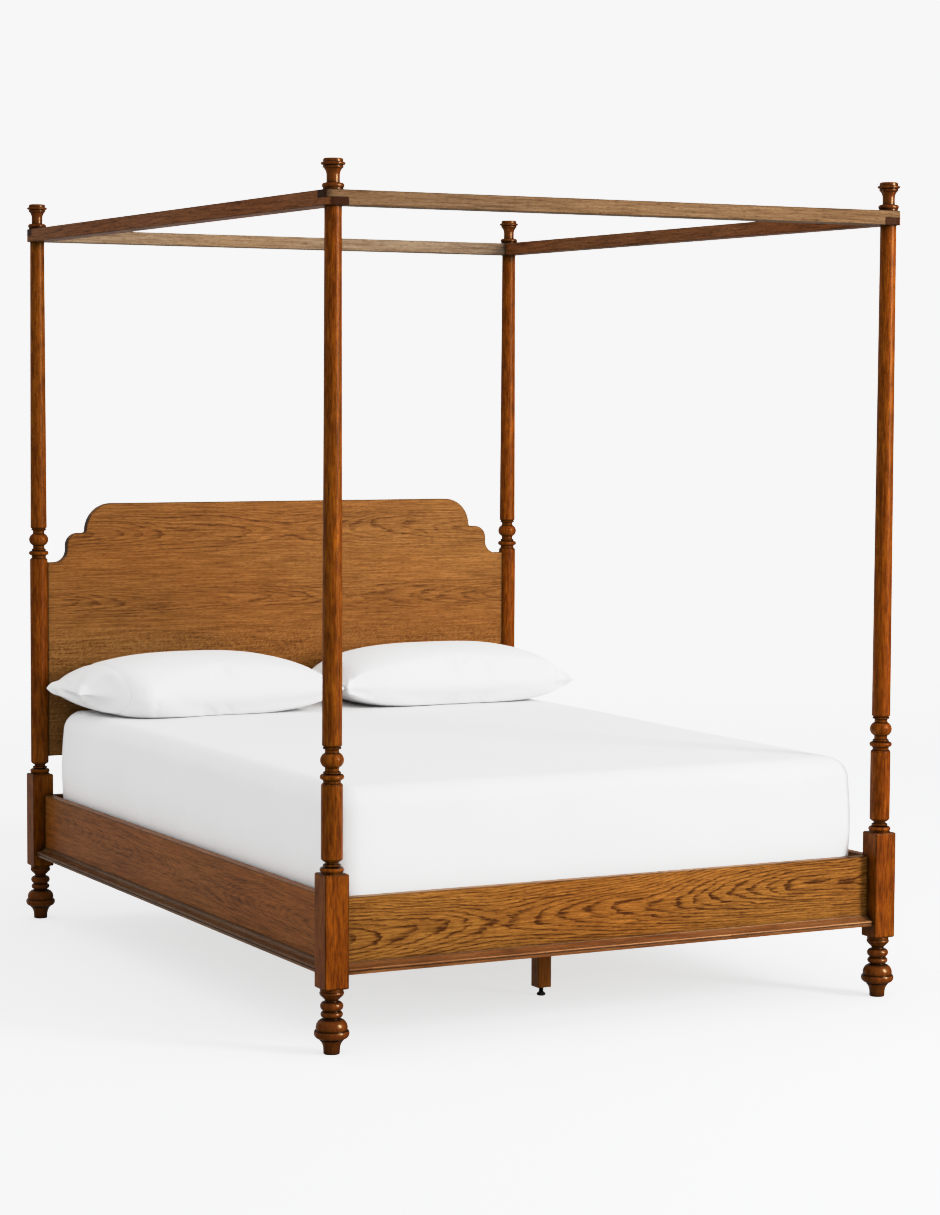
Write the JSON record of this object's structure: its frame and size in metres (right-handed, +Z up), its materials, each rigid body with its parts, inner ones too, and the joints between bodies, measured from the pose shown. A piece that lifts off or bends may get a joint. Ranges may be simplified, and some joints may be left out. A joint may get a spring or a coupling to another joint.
{
  "type": "four poster canopy bed",
  "caption": "Oak four poster bed with turned posts, scalloped headboard, flat lapped canopy rails and finials, made up with a sheeted mattress and pillows.",
  "frame": {"origin": "floor level under the middle of the bed", "axes": "+Z up, +Y towards the headboard, +X to the right of a person standing at the foot of the bed"},
  "size_m": [1.702, 2.21, 2.171],
  "materials": {
    "oak_post": "stained and glazed, satin lacquer",
    "oak_turned_dark": "stained with a dark glaze in the grooves, satin lacquer",
    "oak_canopy": "stained, satin lacquer",
    "oak_headboard": "stained flat-cut veneer, satin lacquer",
    "oak_rail": "stained flat-cut boards, satin lacquer",
    "oak_moulding": "stained with a dark glaze in the grooves, satin lacquer",
    "oak_leg": "dark stained, satin lacquer",
    "pine": "bare planed pine",
    "zinc_steel": "zinc plated",
    "black_steel": "black oxide",
    "black_plastic": "matte black",
    "white_sheet": "plain white cotton sheet",
    "white_pillowcase": "plain white cotton percale"
  },
  "bodies": {
    "bed_frame": {"bun_foot_front_left": "oak_turned_dark", "bun_foot_front_right": "oak_turned_dark", "bun_foot_back_left": "oak_turned_dark", "bun_foot_back_right": "oak_turned_dark", "lower_post_front_left": "oak_post", "lower_post_front_right": "oak_post", "lower_post_back_left": "oak_post", "lower_post_back_right": "oak_post", "upper_post_front_left": "oak_post", "upper_post_front_right": "oak_post", "upper_post_back_left": "oak_post", "upper_post_back_right": "oak_post", "canopy_pins": "zinc_steel", "post_joint_studs": "zinc_steel", "bun_foot_studs": "zinc_steel", "headboard_panel": "oak_headboard", "head_rail": "oak_rail", "foot_rail": "oak_rail", "side_rail_left": "oak_rail", "side_rail_right": "oak_rail", "foot_moulding": "oak_moulding", "side_moulding_left": "oak_moulding", "side_moulding_right": "oak_moulding", "rail_hook_plates": "zinc_steel", "post_slot_plates": "zinc_steel", "plate_screws": "zinc_steel", "ledger_left": "pine", "ledger_right": "pine", "ledger_screws": "zinc_steel", "centre_beam": "pine", "beam_hangers": "zinc_steel", "hanger_screws": "zinc_steel", "slats": "pine", "slat_screws": "zinc_steel", "centre_leg_front": "oak_leg", "centre_leg_middle": "oak_leg", "centre_leg_back": "oak_leg", "leg_studs": "zinc_steel", "leveller_inserts": "zinc_steel"},
    "canopy_frame": {"canopy_rail_front": "oak_canopy", "canopy_rail_back": "oak_canopy", "canopy_rail_left": "oak_canopy", "canopy_rail_right": "oak_canopy"},
    "finial_front_left": {"finial_front_left": "oak_turned_dark"},
    "finial_front_right": {"finial_front_right": "oak_turned_dark"},
    "finial_back_left": {"finial_back_left": "oak_turned_dark"},
    "finial_back_right": {"finial_back_right": "oak_turned_dark"},
    "mattress": {"mattress": "white_sheet"},
    "pillow_left": {"pillow_left": "white_pillowcase"},
    "pillow_right": {"pillow_right": "white_pillowcase"},
    "leveller_stem_front": {"leveller_stem_front": "black_steel"},
    "leveller_pad_front": {"leveller_pad_front": "black_plastic"},
    "leveller_stem_middle": {"leveller_stem_middle": "black_steel"},
    "leveller_pad_middle": {"leveller_pad_middle": "black_plastic"},
    "leveller_stem_back": {"leveller_stem_back": "black_steel"},
    "leveller_pad_back": {"leveller_pad_back": "black_plastic"}
  },
  "joints": [
    {"name": "canopy_lift", "type": "slide", "parent": "bed_frame", "child": "canopy_frame", "axis": [0, 0, 1], "range_m": [0, 0.09]},
    {"name": "finial_lift_front_left", "type": "slide", "parent": "canopy_frame", "child": "finial_front_left", "axis": [0, 0, 1], "range_m": [0, 0.05]},
    {"name": "finial_lift_front_right", "type": "slide", "parent": "canopy_frame", "child": "finial_front_right", "axis": [0, 0, 1], "range_m": [0, 0.05]},
    {"name": "finial_lift_back_left", "type": "slide", "parent": "canopy_frame", "child": "finial_back_left", "axis": [0, 0, 1], "range_m": [0, 0.05]},
    {"name": "finial_lift_back_right", "type": "slide", "parent": "canopy_frame", "child": "finial_back_right", "axis": [0, 0, 1], "range_m": [0, 0.05]},
    {"name": "mattress_lift", "type": "slide", "parent": "bed_frame", "child": "mattress", "axis": [0, 0, 1], "range_m": [0, 0.25]},
    {"name": "pillow_left_lift", "type": "slide", "parent": "mattress", "child": "pillow_left", "axis": [0, 0, 1], "range_m": [0, 0.25]},
    {"name": "pillow_right_lift", "type": "slide", "parent": "mattress", "child": "pillow_right", "axis": [0, 0, 1], "range_m": [0, 0.25]},
    {"name": "leveller_travel_front", "type": "slide", "parent": "bed_frame", "child": "leveller_stem_front", "axis": [0, 0, -1], "range_m": [-0.007, 0.007]},
    {"name": "leveller_turn_front", "type": "hinge", "parent": "leveller_stem_front", "child": "leveller_pad_front", "pos_m": [0, -0.655, 0.004], "axis": [0, 0, -1], "range_deg": [-1440, 1440]},
    {"name": "leveller_travel_middle", "type": "slide", "parent": "bed_frame", "child": "leveller_stem_middle", "axis": [0, 0, -1], "range_m": [-0.007, 0.007]},
    {"name": "leveller_turn_middle", "type": "hinge", "parent": "leveller_stem_middle", "child": "leveller_pad_middle", "pos_m": [0, 0, 0.004], "axis": [0, 0, -1], "range_deg": [-1440, 1440]},
    {"name": "leveller_travel_back", "type": "slide", "parent": "bed_frame", "child": "leveller_stem_back", "axis": [0, 0, -1], "range_m": [-0.007, 0.007]},
    {"name": "leveller_turn_back", "type": "hinge", "parent": "leveller_stem_back", "child": "leveller_pad_back", "pos_m": [0, 0.655, 0.004], "axis": [0, 0, -1], "range_deg": [-1440, 1440]}
  ],
  "couplings": [
    {"joint": "leveller_turn_front", "follows": "leveller_travel_front", "rad_per_m": 3590.4},
    {"joint": "leveller_turn_middle", "follows": "leveller_travel_middle", "rad_per_m": 3590.4},
    {"joint": "leveller_turn_back", "follows": "leveller_travel_back", "rad_per_m": 3590.4}
  ]
}
